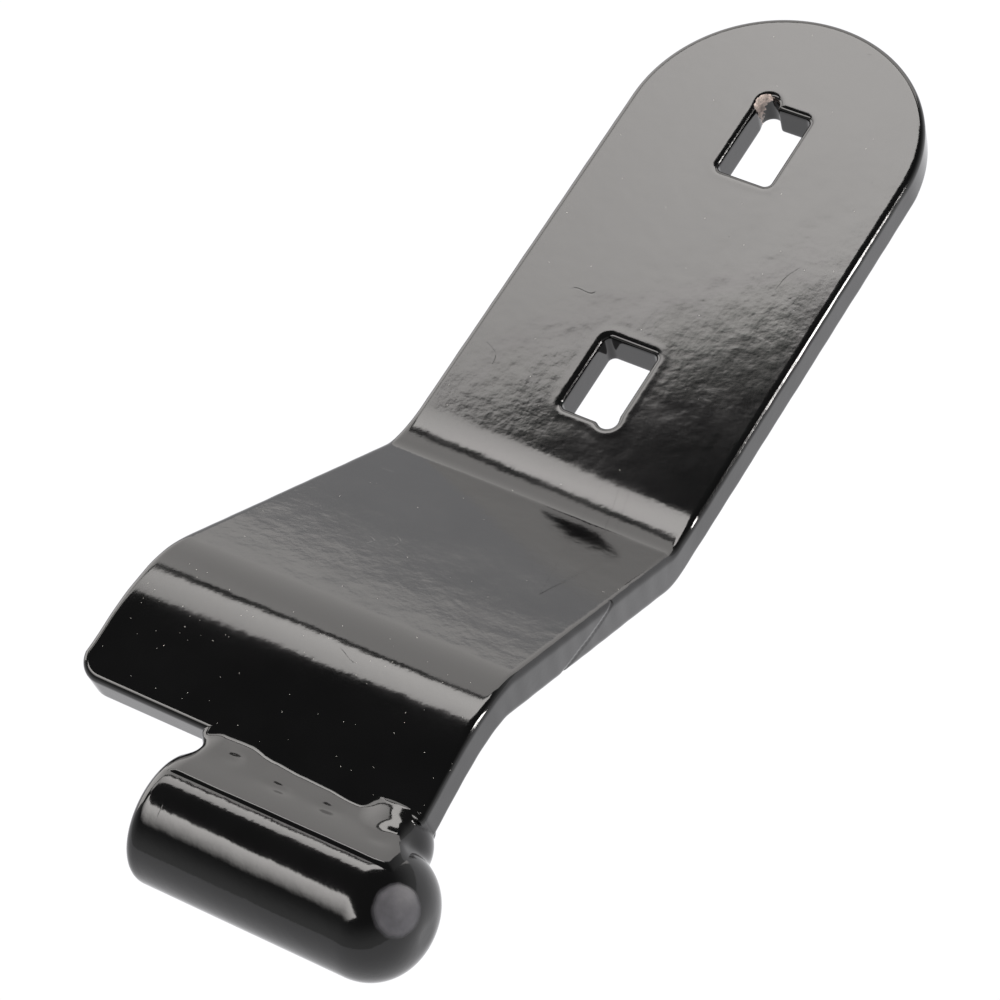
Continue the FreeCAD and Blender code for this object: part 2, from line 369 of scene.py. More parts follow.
class SlotShape:
    """A bolt slot with a round lead-in at one corner, in flat (x, s) places."""

    def __init__(self, settings, centre, lead_centre, lead_radius):
        self.centre = np.array(centre)
        self.half = np.array([settings.slot_width, settings.slot_length]) / MM / 2
        self.lead_centre = self.centre + np.array(lead_centre)
        self.lead_radius = lead_radius

    def distance(self, points):
        """Signed distance to the slot's wall, negative in the opening."""
        q = np.abs(points - self.centre) - (self.half - SLOT_CORNER)
        box = np.hypot(*np.maximum(q, 0.0).T) + np.minimum(q.max(axis=1), 0.0) - SLOT_CORNER
        lead = np.hypot(*(points - self.lead_centre).T) - self.lead_radius
        return smooth_min(box, lead, 0.5)

    def ring(self, headings, offset):
        """Points round the slot at this distance out from its wall."""
        ways = np.stack([np.cos(headings), np.sin(headings)], axis=-1)
        low, high = np.zeros(len(headings)), np.full(len(headings), 25.0)
        for _ in range(40):
            middle = (low + high) / 2
            out = self.distance(self.centre + ways * middle[:, None]) > offset
            high, low = np.where(out, middle, high), np.where(out, low, middle)
        return self.centre + ways * middle[:, None]

    def headings(self, count):
        """Directions from the slot's centre that space points evenly round its wall."""
        fine = np.linspace(0.0, 2 * math.pi, 1441)
        ring = self.ring(fine, 0.0)
        run = np.concatenate([[0.0], np.cumsum(np.hypot(*np.diff(ring, axis=0).T))])
        return np.interp(np.linspace(0.0, run[-1], count, endpoint=False), run, fine)


def smooth_min(a, b, k):
    """The lesser of two distances, with a fillet where they are within k of each other."""
    h = np.maximum(k - np.abs(a - b), 0.0) / k
    return np.minimum(a, b) - h * h * k / 4


def smooth_max(a, b, k):
    return -smooth_min(-a, -b, k)


# ---------------------------------------------------------------- meshes from a distance field

def field_mesh(field, low, high, cell):
    """Closed mesh of the zero level of a distance field, one point per crossed cell."""
    axes = [np.arange(a - cell, b + 2 * cell, cell) for a, b in zip(low, high)]
    grid = np.stack(np.meshgrid(*axes, indexing="ij"), axis=-1)
    values = field(grid.reshape(-1, 3)).reshape(grid.shape[:3])
    solid = values < 0
    count = np.zeros([n - 1 for n in values.shape], int)
    corners = [(i, j, k) for i in (0, 1) for j in (0, 1) for k in (0, 1)]
    for i, j, k in corners:
        count += solid[i:solid.shape[0] - 1 + i, j:solid.shape[1] - 1 + j,
                       k:solid.shape[2] - 1 + k]
    cells = np.argwhere((count > 0) & (count < 8))
    index = np.full(count.shape, -1)
    index[tuple(cells.T)] = np.arange(len(cells))
    total, hits = np.zeros((len(cells), 3)), np.zeros(len(cells))
    for axis in range(3):
        step = np.eye(3, dtype=int)[axis]
        for corner in corners:
            if corner[axis]:
                continue
            a = values[tuple((cells + corner).T)]
            b = values[tuple((cells + corner + step).T)]
            crossed = (a < 0) != (b < 0)
            share = np.where(crossed, a / np.where(crossed, a - b, 1.0), 0.0)
            total += crossed[:, None] * (np.array(corner) + step * share[:, None])
            hits += crossed
    points = np.array([ax[0] for ax in axes]) + (cells + total / hits[:, None]) * cell
    for _ in range(3):
        value, slope = field(points), gradient(field, points, cell / 8)
        move = value[:, None] * slope / np.maximum((slope ** 2).sum(1), 0.05)[:, None]
        points -= np.clip(move, -cell / 3, cell / 3)
    faces = []
    for axis in range(3):
        step = np.eye(3, dtype=int)[axis]
        a = values[tuple(slice(0, n - s) for n, s in zip(values.shape, step))]
        b = values[tuple(slice(s, None) for s in step)]
        edges = np.argwhere((a < 0) != (b < 0))
        others = [k for k in range(3) if k != axis]
        edges = edges[(edges[:, others] > 0).all(1)]
        u, v = (np.eye(3, dtype=int)[k] for k in others)
        quad = np.stack([index[tuple((edges - d).T)] for d in (u + v, v, 0 * u, u)], axis=-1)
        outward = (a[tuple(edges.T)] < 0) ^ (axis == 1)
        quad = np.where(outward[:, None], quad, quad[:, ::-1])
        faces.append(quad)
    return largest_part(points, np.concatenate(faces))


def largest_part(points, faces):
    """The mesh without its small loose islands."""
    label = np.arange(len(points))
    while True:
        low = label[faces].min(axis=1)
        joined = label.copy()
        np.minimum.at(joined, faces.ravel(), np.repeat(low, faces.shape[1]))
        joined = joined[joined]
        if (joined == label).all():
            break
        label = joined
    names, sizes = np.unique(label, return_counts=True)
    keep = label == names[sizes.argmax()]
    return points[keep], (np.cumsum(keep) - 1)[faces[keep[faces].all(axis=1)]]


def gradient(field, points, step):
    return np.stack([(field(points + step * way) - field(points - step * way)) / (2 * step)
                     for way in np.eye(3)], axis=-1)


# ---------------------------------------------------------------- node trees

def node(tree, kind, place, inputs=None, **settings):
    """A node with its settings, then its inputs: each is a plain value or a socket to link."""
    made = tree.nodes.new(kind)
    made.location = place
    for key, value in settings.items():
        setattr(made, key, value)
    for key, value in (inputs or {}).items():
        if isinstance(value, bpy.types.NodeSocket):
            tree.links.new(value, made.inputs[key])
        else:
            made.inputs[key].default_value = value
    return made


def maths(tree, operation, place, *inputs):
    made = node(tree, "ShaderNodeMath", place, dict(enumerate(inputs)), operation=operation)
    return made.outputs[0]


def vector_maths(tree, operation, place, inputs):
    """The vector result and the value result of a Vector Math node."""
    return node(tree, "ShaderNodeVectorMath", place, inputs, operation=operation).outputs


def ramp(tree, source, low, high, place, out_low=0.0, out_high=1.0, **settings):
    """Maps low to out_low and high to out_high."""
    inputs = {"Value": source, "From Min": low, "From Max": high,
              "To Min": out_low, "To Max": out_high}
    return node(tree, "ShaderNodeMapRange", place, inputs, **settings).outputs["Result"]


def mix(tree, place, factor, a, b, kind="RGBA"):
    inputs = {"Factor": factor, "A": a, "B": b}
    return node(tree, "ShaderNodeMix", place, inputs, data_type=kind).outputs["Result"]


def new_tree(name, inputs):
    """A geometry tree with these named inputs after its geometry, and its input sockets."""
    tree = bpy.data.node_groups.new(name, "GeometryNodeTree")
    for label, kind in {"Geometry": "Geometry", **inputs}.items():
        tree.interface.new_socket(label, in_out="INPUT", socket_type=f"NodeSocket{kind}")
    tree.interface.new_socket("Geometry", in_out="OUTPUT", socket_type="NodeSocketGeometry")
    return tree, node(tree, "NodeGroupInput", (-1100, 0)).outputs


def end_tree(tree, geometry, material, across):
    """Ends a geometry tree in Realize Instances and Set Material."""
    real = node(tree, "GeometryNodeRealizeInstances", (across, 0), {"Geometry": geometry})
    paint = node(tree, "GeometryNodeSetMaterial", (across + 150, 0),
                 {"Geometry": real.outputs["Geometry"], "Material": material})
    node(tree, "NodeGroupOutput", (across + 300, 0), {"Geometry": paint.outputs["Geometry"]})


def run_tree(name, mesh, tree, values):
    """The piece that a geometry tree makes from a mesh, with its inputs set by identifier."""
    blank = bpy.data.objects.new(name, mesh)
    bpy.context.scene.collection.objects.link(blank)
    modifier = blank.modifiers.new(tree.name, "NODES")
    modifier.node_group = tree
    for item in tree.interface.items_tree:
        if item.in_out == "INPUT" and item.name in values:
            modifier[item.identifier] = values[item.name]
    graph = bpy.context.evaluated_depsgraph_get()
    made = bpy.data.meshes.new_from_object(blank.evaluated_get(graph), depsgraph=graph)
    blank.modifiers.clear()
    bpy.data.objects.remove(blank)
    made.name = name
    return place_piece(name, made)


# ---------------------------------------------------------------- materials

def empty_material(name):
    material = bpy.data.materials.new(name)
    material.use_nodes = True
    material.node_tree.nodes.clear()
    return material, material.node_tree


class Enamel:
    """Gloss enamel: near black, with orange peel, slow sags, dust nibs and faint haze."""

    def __init__(self, name, paint, peel_share, roughness):
        self.paint = paint
        self.material, self.tree = empty_material(name)
        self.place = node(self.tree, "ShaderNodeTexCoord", (-1400, 0)).outputs["Object"]
        self.normal = None
        haze = self.noise(90.0, 4.0, (-1100, 400))
        dust = self.tone(haze)
        # gloss: uneven, duller in the haze
        dull = self.ramp(haze, 0.3, 0.8, (-850, 150), roughness * 0.88, roughness * 1.25)
        smear = self.ramp(self.noise(28.0, 3.0, (-1100, -50), 0.6), 0.5, 0.75, (-850, -50),
                          0.0, 0.02)
        self.roughness = self.maths("ADD", (-450, 100), dull, smear)
        self.relief(paint.peel, peel_share, dust)

    def noise(self, scale, detail, place, rough=0.5):
        inputs = {"Scale": scale, "Detail": detail, "Roughness": rough, "Vector": self.place}
        return node(self.tree, "ShaderNodeTexNoise", place, inputs).outputs["Fac"]

    def ramp(self, *values):
        return ramp(self.tree, *values)

    def maths(self, *values):
        return maths(self.tree, *values)

    def bump(self, height, distance, place, strength=1.0, **settings):
        """One more layer of relief, over those before it."""
        inputs = {"Height": height, "Distance": distance, "Strength": strength}
        if self.normal:
            inputs["Normal"] = self.normal
        self.normal = node(self.tree, "ShaderNodeBump", place, inputs, **settings).outputs["Normal"]

    def tone(self, haze):
        """The enamel's colour, paler in the haze and on dust specks. Gives the specks' mask."""
        specks = node(self.tree, "ShaderNodeTexVoronoi", (-1100, 650),
                      {"Scale": 300.0, "Vector": self.place})
        near = self.ramp(specks.outputs["Distance"], 0.055, 0.02, (-850, 650))
        rare = self.maths("GREATER_THAN", (-850, 850), specks.outputs["Color"], 0.93)
        dust = self.maths("MULTIPLY", (-650, 700), near, rare)
        pale = (*(1.5 * c + 0.0005 for c in self.paint.colour), 1.0)
        enamel = mix(self.tree, (-450, 350), self.ramp(haze, 0.35, 0.75, (-850, 400)),
                     (*self.paint.colour, 1.0), pale)
        self.colour = mix(self.tree, (-250, 350), dust, enamel, (0.16, 0.155, 0.145, 1.0))
        return dust

    def relief(self, peel, peel_share, dust):
        """Orange peel over slower waves, then scratches and dust nibs."""
        for row, (scale, detail, share) in enumerate(PEEL_LAYERS):
            down = -300 - 220 * row
            self.bump(self.noise(scale, detail, (-1100, down)), peel * share * peel_share,
                      (-450, down))
        # faint curved scratches, where a second noise lets them show
        curl = self.maths("SUBTRACT", (-850, -1400), self.noise(34.0, 2.0, (-1100, -1400)), 0.5)
        thin = self.ramp(self.maths("ABSOLUTE", (-650, -1400), curl), 0.0025, 0.0, (-450, -1400))
        shown = self.ramp(self.noise(75.0, 1.0, (-1100, -1650)), 0.63, 0.67, (-850, -1650))
        self.bump(self.maths("MULTIPLY", (-250, -1400), thin, shown), 0.000009, (-250, -700),
                  invert=True)
        self.bump(dust, 0.00006, (-200, -300), 0.6)

    def cover(self, mask, colour, roughness):
        """Another colour and roughness where the mask is on."""
        self.colour = mix(self.tree, (0, 300), mask, self.colour, colour)
        self.roughness = mix(self.tree, (0, 100), mask, self.roughness, roughness, "FLOAT")

    def chip(self):
        """Bare primer and scale, where the piece's attribute "bare" says so."""
        mask = node(self.tree, "ShaderNodeAttribute", (-1400, -900), attribute_name="bare")
        grain = self.noise(900.0, 3.0, (-1100, -1000), 0.6)
        worn = self.maths("ADD", (-850, -950), mask.outputs["Fac"],
                          self.ramp(grain, 0.3, 0.7, (-1000, -1150), -0.25, 0.25))
        bare = self.ramp(worn, 0.46, 0.56, (-650, -950))
        dark = (*(0.62 * c for c in self.paint.bare_colour), 1.0)
        light = (*(min(1.0, 1.35 * c) for c in self.paint.bare_colour), 1.0)
        self.cover(bare, mix(self.tree, (-450, -950), self.ramp(grain, 0.4, 0.62, (-650, -1150)),
                             dark, light), 0.62)
        self.bump(worn, 0.00012, (100, -300), bare)

    def paint_reflection_disc(self, middle, radius, colour):
        """A painted reflection: a grey round spot with a ragged edge, standing in for the floor seen in
        the bar's nose, and duller there.
        """
        apart = vector_maths(self.tree, "DISTANCE", (-1100, -1900), {0: self.place, 1: middle})
        ragged = self.ramp(self.noise(260.0, 3.0, (-1100, -2100)), 0.3, 0.7, (-850, -2100),
                           -0.0002, 0.0002)
        mask = self.ramp(self.maths("ADD", (-850, -1900), apart["Value"], ragged),
                         radius + 0.0007, radius - 0.0006, (-650, -1900), 0.0, 0.8)
        cloud = self.ramp(self.noise(420.0, 4.0, (-850, -2300)), 0.3, 0.7, (-650, -2300),
                          0.75, 1.1)
        grey = vector_maths(self.tree, "SCALE", (-450, -2300), {0: colour, "Scale": cloud})
        # painted reflection: the grey disc's colour goes over the enamel's, with roughness 0.55
        self.cover(mask, grey[0], 0.55)

    def finish(self):
        shader = node(self.tree, "ShaderNodeBsdfPrincipled", (600, 0), {
            "IOR": 1.5, "Base Color": self.colour, "Roughness": self.roughness,
            "Normal": self.normal})
        node(self.tree, "ShaderNodeOutputMaterial", (900, 0),
             {"Surface": shader.outputs["BSDF"]})


def glow_panel(name, corners, glow_of, tint=PANEL_TINT):
    """A flat emissive piece of the stage. Its strength comes from glow_of(tree, place)."""
    material, tree = empty_material(name)
    place = node(tree, "ShaderNodeTexCoord", (-600, 0)).outputs["Object"]
    glow = node(tree, "ShaderNodeEmission", (200, 0),
                {"Color": (*tint, 1.0), "Strength": glow_of(tree, place)})
    node(tree, "ShaderNodeOutputMaterial", (400, 0), {"Surface": glow.outputs["Emission"]})
    mesh = bpy.data.meshes.new(name)
    mesh.from_pydata(corners, [], [(0, 1, 2, 3)])
    mesh.materials.append(material)
    place_piece(name, mesh)


# ---------------------------------------------------------------- operators

class LATCH_OT_paint(bpy.types.Operator):
    """Make the enamel finishes"""
    bl_idname = "latch.paint"
    bl_label = "Paint"

    def execute(self, context):
        paint = context.scene.latch_paint
        strap = Enamel("strap_enamel", paint, 1.0, paint.roughness)
        strap.chip()
        strap.finish()
        bar = Enamel("bar_enamel", paint, 2.0, paint.roughness * 1.1)
        # painted reflection of the floor on the bar's domed nose, as a grey disc
        bar.paint_reflection_disc(REFLECTION_DISC_PLACE, REFLECTION_DISC_RADIUS, REFLECTION_DISC_COLOUR)
        bar.finish()
        Enamel("weld_enamel", paint, 1.1, paint.roughness * 0.9).finish()
        dust, tree = empty_material("dust_speck")
        place = node(tree, "ShaderNodeTexCoord", (-700, 0)).outputs["Object"]
        tint = node(tree, "ShaderNodeTexNoise", (-500, 0), {"Scale": 60.0, "Vector": place})
        colour = mix(tree, (-250, 0), tint.outputs["Fac"], (0.35, 0.33, 0.3, 1.0),
                     (0.75, 0.74, 0.7, 1.0))
        shader = node(tree, "ShaderNodeBsdfPrincipled", (0, 0),
                      {"Roughness": 0.7, "Base Color": colour})
        node(tree, "ShaderNodeOutputMaterial", (300, 0), {"Surface": shader.outputs["BSDF"]})
        return {"FINISHED"}


class PlateMesh:
    """Points and faces of the plate while it is flat: (x, s, depth) in mm."""

    def __init__(self):
        self.points, self.faces, self.count = [], [], 0

    def add(self, places, depth):
        """Adds flat places at one depth, and gives their numbers."""
        first = self.count
        self.points.append(np.column_stack([places, np.full(len(places), depth)]))
        self.count += len(places)
        return range(first, self.count)

    def flat(self):
        return np.concatenate(self.points)

    def fill(self, shape, rings, depth, upward):
        """Fills one face between its border, the first ring, and its holes, the others."""
        flat = self.flat()
        loops = [flat[ring.start:ring.stop, :2] for ring in rings]
        numbers = [number for ring in rings for number in ring]
        spread = []
        for row, s in enumerate(shape.rows(0.8, shape.length - 0.8)):
            xs = np.arange(-46.0, 46.0, FILL_STEP) + FILL_STEP / 2 * (row % 2)
            spread.append(np.column_stack([xs, np.full(len(xs), s)]))
        spread = np.concatenate(spread)
        keep = self.on_face(spread, loops)
        for loop in loops:
            keep &= gap_to_loop(spread, loop) > FILL_GAP
        spread = spread[keep]
        edges, base = [], 0
        for loop in loops:
            edges += [(base + i, base + (i + 1) % len(loop)) for i in range(len(loop))]
            base += len(loop)
        sites = [Vector(p) for p in np.concatenate(loops + [spread])]
        made = delaunay_2d_cdt(sites, edges, [], 0, 1e-5)
        places = np.array([tuple(p) for p in made[0]])
        source = [origin[0] if origin else -1 for origin in made[3]]
        first = self.add(spread, depth).start
        final = [numbers[o] if o < base else first + o - base for o in source]
        triangles = np.array(made[2])
        for a, b, c in triangles[self.on_face(places[triangles].mean(axis=1), loops)]:
            pa, pb, pc = places[a], places[b], places[c]
            turned = (pb - pa)[0] * (pc - pa)[1] - (pb - pa)[1] * (pc - pa)[0] > 0
            face = (final[a], final[b], final[c])
            self.faces.append(face[::-1] if turned == upward else face)

    @staticmethod
    def on_face(places, loops):
        """Whether each place lies inside the border and outside the holes."""
        keep = inside_loop(places, loops[0])
        for hole in loops[1:]:
            keep &= ~inside_loop(places, hole)
        return keep


class LATCH_OT_strap(bpy.types.Operator):
    """Build the bent strap with its two bolt slots"""
    bl_idname = "latch.strap"
    bl_label = "Strap"

    def execute(self, context):
        settings = context.scene.latch_strap
        shape = StrapShape(settings)
        plate = PlateMesh()
        rim, slot_rim = settings.edge_round / MM, settings.slot_rim / MM
        loop, normal = shape.outline(settings.ear_corner / MM, FOOT_CORNER)
        outer = [plate.add(loop - normal * inset, depth)
                 for inset, depth in wall_path([rim + 0.5], rim, 8, 14, shape.thickness)]
        for a, b in zip(outer, outer[1:]):
            plate.faces += ring_faces(a, b)
        slots = []
        for side, lead, radius in LEAD_INS:
            centre = (0.0, shape.end_y - side * settings.slot_pitch / MM / 2)
            slots.append(SlotShape(settings, centre, lead, radius))
        holes = []
        for slot in slots:
            ways = slot.headings(240)
            path = wall_path((4.2, 3.5, 2.9, 2.3, 1.8), slot_rim, 7, 12, shape.thickness)
            rings = [plate.add(slot.ring(ways, offset), depth) for offset, depth in path]
            for a, b in zip(rings, rings[1:]):
                plate.faces += ring_faces(b, a)
            holes.append(rings)
        for which, depth in ((0, 0.0), (-1, shape.thickness)):
            rings = [outer[which]] + [rings[which] for rings in holes]
            plate.fill(shape, rings, depth, upward=which == 0)

        flat = plate.flat()
        bent = shape.place(*flat.T)
        self.mark_wall(shape, flat, bent)
        self.thicken_paint(shape, slots, flat, bent)
        piece = new_piece("strap_plate", bent, plate.faces)
        attribute = piece.data.attributes.new("bare", "FLOAT", "POINT")
        attribute.data.foreach_set("value", self.bare(slots[0], flat).astype(np.float32))
        settle(piece, "strap_paint", "strap")
        return {"FINISHED"}

    @staticmethod
    def mark_wall(shape, flat, bent):
        """The line in the paint on the right wall: a fine groove with a nick at its foot."""
        x, s, depth = flat.T
        line = np.array(SEAM_FOOT) - np.array(SEAM_TOP)
        run = ((s - SEAM_TOP[0]) * line[0] + (depth - SEAM_TOP[1]) * line[1]) / (line @ line)
        off = ((s - SEAM_TOP[0]) * line[1] - (depth - SEAM_TOP[1]) * line[0]) / np.hypot(*line)
        off += 0.35 * np.sin(run * 5.0)
        on_wall = x > shape.half_pad - 0.6
        on_line = on_wall & (run > -0.02) & (run < 1.1)
        bent[:, 0] -= on_line * 0.22 * np.exp(-(off / 0.28) ** 2)
        nick = np.hypot(s - SEAM_FOOT[0], depth - shape.thickness)
        bent[:, 0] -= on_wall * 0.7 * np.exp(-(nick / 0.9) ** 2)

    @staticmethod
    def thicken_paint(shape, slots, flat, bent):
        """Thick paint: a low lip round the slots, and slow sags along the long edges."""
        x, s, depth = flat.T
        lip = np.zeros(len(x))
        for slot in slots:
            gap = slot.distance(flat[:, :2])
            lip += 0.02 * np.exp(-((gap - 1.9) / 0.9) ** 2) * (depth < 0.2)
        bent[:, 2] += lip
        wall = np.abs(x) > shape.half_pad - 0.3
        sag = np.sin(s * 0.31 + 1.1) * np.sin(s * 0.117) + 0.6 * np.sin(s * 0.83 + depth * 0.5)
        bent[:, 0] += np.sign(x) * wall * 0.035 * sag

    @staticmethod
    def bare(slot, flat):
        """How bare each point is, where the paint has come off round a slot's lead-in."""
        depth = flat[:, 2]
        from_lead = flat[:, :2] - slot.lead_centre
        around = np.arctan2(from_lead[:, 1], from_lead[:, 0])
        gap = slot.distance(flat[:, :2])
        ring = np.exp(-(np.maximum(gap - 0.2, 0.0) / 0.75) ** 2)
        left = np.exp(-((np.angle(np.exp(1j * (around + 2.75)))) / 1.25) ** 6)
        near = np.hypot(*from_lead.T) < slot.lead_radius + 2.2
        side = np.exp(-((np.angle(np.exp(1j * (around + math.pi)))) / 0.7) ** 2)
        fade = np.clip(1.3 - depth / (2.6 + 6.5 * side), 0.0, 1.0)
        return np.where(near, ring * left * fade, 0.0)


class LATCH_OT_bar(bpy.types.Operator):
    """Turn the striker bar, with a domed end and a sawn end"""
    bl_idname = "latch.bar"
    bl_label = "Striker bar"

    def execute(self, context):
        settings = context.scene.latch_bar
        low, high = box_mm("striker_bar")
        radius = (high[2] - low[2]) / 2
        centre = (low + high) / 2
        dome, end = settings.dome_radius / MM, settings.end_round / MM
        line = [(low[0], 0.0)] + [(low[0] + 0.0004 * r, r) for r in
                                  np.linspace(0.6, radius - end, 14)[:-1]]
        for a in np.linspace(0.0, math.pi / 2, 8):
            line.append((low[0] + end * (1 - math.cos(a)) + 0.006, radius - end * (1 - math.sin(a))))
        line += [(x, radius) for x in np.arange(low[0] + end + 1.0, high[0] - dome - 0.4, 0.8)]
        land = settings.land_radius / MM
        stop = math.acos((land - radius + dome) / dome)
        for a in np.linspace(0.0, stop, 34):
            line.append((high[0] - dome * (1 - math.sin(a)),
                         radius - dome * (1 - math.cos(a))))
        line += [(line[-1][0] + 0.0001, r) for r in np.linspace(land - 0.25, 0.0, 9)]
        line = np.array(line)
        mesh = bpy.data.meshes.new("bar_line")
        mesh.from_pydata([(x * MM, 0.0, 0.0) for x in line[:, 0]],
                         [(i, i + 1) for i in range(len(line) - 1)], [])
        attribute = mesh.attributes.new("turned_radius", "FLOAT", "POINT")
        attribute.data.foreach_set("value", (line[:, 1] * MM).astype(np.float32))
        piece = run_tree("striker_bar_body", mesh, self.turning_tree(), {
            "Sides": settings.sides, "Wave": settings.wave, "Seed": 3.0,
            "Axis": (0.0, centre[1] * MM, centre[2] * MM),
            "Paint": bpy.data.materials["bar_enamel"]})
        settle(piece, "bar_paint", "striker_bar")
        return {"FINISHED"}

    @staticmethod
    def turning_tree():
        """Sweeps a circle along the bar's line, as wide as the line's turned_radius says."""
        tree, given = new_tree("Turned bar", {
            "Sides": "Int", "Wave": "Float", "Seed": "Float", "Axis": "Vector",
            "Paint": "Material"})
        curve = node(tree, "GeometryNodeMeshToCurve", (-700, 0), {"Mesh": given["Geometry"]})
        width = node(tree, "GeometryNodeInputNamedAttribute", (-700, -200),
                     {"Name": "turned_radius"}, data_type="FLOAT").outputs["Attribute"]
        wide = node(tree, "GeometryNodeSetCurveRadius", (-500, 0),
                    {"Curve": curve.outputs["Curve"], "Radius": width})
        circle = node(tree, "GeometryNodeCurvePrimitiveCircle", (-500, -300),
                      {"Resolution": given["Sides"], "Radius": 1.0})
        sweep = node(tree, "GeometryNodeCurveToMesh", (-250, 0), {
            "Curve": wide.outputs["Curve"], "Profile Curve": circle.outputs["Curve"],
            "Scale": width})
        closed = node(tree, "GeometryNodeMergeByDistance", (-50, 0),
                      {"Geometry": sweep.outputs["Mesh"], "Distance": 0.0000005})
        wave = node(tree, "ShaderNodeTexNoise", (-50, -300),
                    {"W": given["Seed"], "Scale": 85.0, "Detail": 1.0}, noise_dimensions="4D")
        centred = maths(tree, "SUBTRACT", (150, -300), wave.outputs["Fac"], 0.5)
        tall = maths(tree, "MULTIPLY", (350, -300), centred, given["Wave"])
        normal = node(tree, "GeometryNodeInputNormal", (350, -500)).outputs["Normal"]
        push = vector_maths(tree, "SCALE", (550, -300), {0: normal, "Scale": tall})
        shift = vector_maths(tree, "ADD", (750, -300), {0: push[0], 1: given["Axis"]})
        move = node(tree, "GeometryNodeSetPosition", (900, 0),
                    {"Geometry": closed.outputs["Geometry"], "Offset": shift[0]})
        smooth = node(tree, "GeometryNodeSetShadeSmooth", (1050, 0),
                      {"Geometry": move.outputs["Geometry"]})
        end_tree(tree, smooth.outputs["Geometry"], given["Paint"], 1200)
        return tree


class WeldShape:
    """Distance fields of the toe, the bar and the beads between them, in mm."""

    def __init__(self, scene):
        strap, weld = scene.latch_strap, scene.latch_weld
        self.strap = StrapShape(strap)
        self.thick = self.strap.thickness
        y, z, heading = self.strap.line(self.strap.length)
        self.end = np.array([float(y), float(z)])
        self.back = np.array([math.cos(heading), -math.sin(heading)])    # up the toe
        self.down = np.array([-math.sin(heading), -math.cos(heading)])   # into the plate
        self.rim = strap.edge_round / MM
        low, high = box_mm("striker_bar")
        self.radius = (high[2] - low[2]) / 2
        self.axis = (low + high)[1:] / 2
        self.left, self.right = low[0], high[0]
        self.dome = scene.latch_bar.dome_radius / MM
        self.end_round = scene.latch_bar.end_round / MM
        self.bead_left = self.left + weld.end_gap / MM
        self.bead_right = self.strap.half_toe - 2.0
        self.lap = weld.lap / MM
        self.blend = weld.blend / MM
        self.join = weld.join_angle

    def toe(self, p):
        rel = p[:, 1:] - self.end
        reach = 40.0                                     # more of the strap than the beads touch
        along = np.abs(rel @ self.back - reach / 2) - reach / 2 + self.rim
        into = np.abs(rel @ self.down - self.thick / 2) - self.thick / 2 + self.rim
        side = np.abs(p[:, 0]) - self.strap.half_width(p[:, 1]) + self.rim
        q = np.stack([along, into, side], axis=-1)
        return (np.linalg.norm(np.maximum(q, 0.0), axis=1)
                + np.minimum(q.max(axis=1), 0.0) - self.rim)

    def bar(self, p):
        out = np.hypot(p[:, 1] - self.axis[0], p[:, 2] - self.axis[1])
        past = p[:, 0] - (self.right - self.dome)
        barrel = out - self.radius
        nose = np.hypot(np.maximum(out - (self.radius - self.dome), 0.0), past) - self.dome
        body = np.where(past > 0, nose, barrel)
        edge = self.end_round
        q = np.stack([out - self.radius + edge, self.left + edge - p[:, 0]], axis=-1)
        sawn = np.linalg.norm(np.maximum(q, 0.0), axis=1) + np.minimum(q.max(axis=1), 0.0) - edge
        return np.maximum(body, sawn)

    def upper_toe(self, x):
        """How far up the toe the bead's edge lies at x."""
        share = (x - self.bead_left) / (self.bead_right - self.bead_left)
        at = np.clip(share, 0.0, 1.0) * (len(WELD_WANDER) - 1)
        base = np.clip(at.astype(int), 0, len(WELD_WANDER) - 2)
        t = at - base
        t = t * t * (3 - 2 * t)
        values = np.array(WELD_WANDER)
        return self.lap + values[base] * (1 - t) + values[base + 1] * t

    def ramp(self, p):
        """The filled slope from the toe's top face up to the bar's flank."""
        x = p[:, 0]
        lap = self.upper_toe(x)
        foot_y = self.end[0] + lap * self.back[0]
        foot_z = self.end[1] + lap * self.back[1]
        join_y = self.axis[0] + self.radius * math.sin(self.join)
        join_z = self.axis[1] + self.radius * math.cos(self.join)
        run, climb = join_y - foot_y, join_z - foot_z
        size = np.hypot(run, climb)
        across = ((p[:, 2] - foot_z) * -run + (p[:, 1] - foot_y) * climb) / size
        # the slope, and flush with the toe's top face before the slope begins
        level = -((p[:, 1:] - self.end) @ self.down)
        top = smooth_min(across, level - SKIN_INSET + 0.005, self.blend)
        for px, py, sx, sy, deep in BEAD_HOLLOWS:
            top = top + deep * np.exp(-((x - px) / sx) ** 2 - ((p[:, 1] - py) / sy) ** 2)
        wobble = (np.sin(x * 0.33 + 0.7) * np.sin(p[:, 1] * 0.36 + 1.0) * 0.016
                  + np.sin(x * 0.85 + p[:, 1] * 0.6) * 0.008)
        top = top + wobble
        reach = np.clip((foot_y - p[:, 1]) / 9.0, 0.0, 1.0)
        reach = reach * reach * (3 - 2 * reach)
        onto_bar = np.clip((self.end[0] - p[:, 1]) / 4.0, 0.0, 1.0)
        left = self.bead_left + 2.4 * onto_bar * onto_bar * (3 - 2 * onto_bar)
        ends = np.maximum(left - x, x - self.bead_right - 3.4 * reach)
        lower = self.axis[1] - 3.0 - p[:, 2]
        sides = np.maximum(join_y - 1.5 - p[:, 1], p[:, 1] - self.end[0] - 2.4)
        block = smooth_max(top, ends, 2.6)
        return smooth_max(block, np.maximum(lower, sides), 0.6)

    def wrap(self, p):
        """The return bead round the plate's edge, at the domed end."""
        ball = np.array([self.strap.half_toe - 6.6, self.end[0] - 3.4, self.end[1] - 8.4])
        return np.linalg.norm((p - ball) / np.array([1.0, 1.05, 1.15]), axis=1) - 8.4

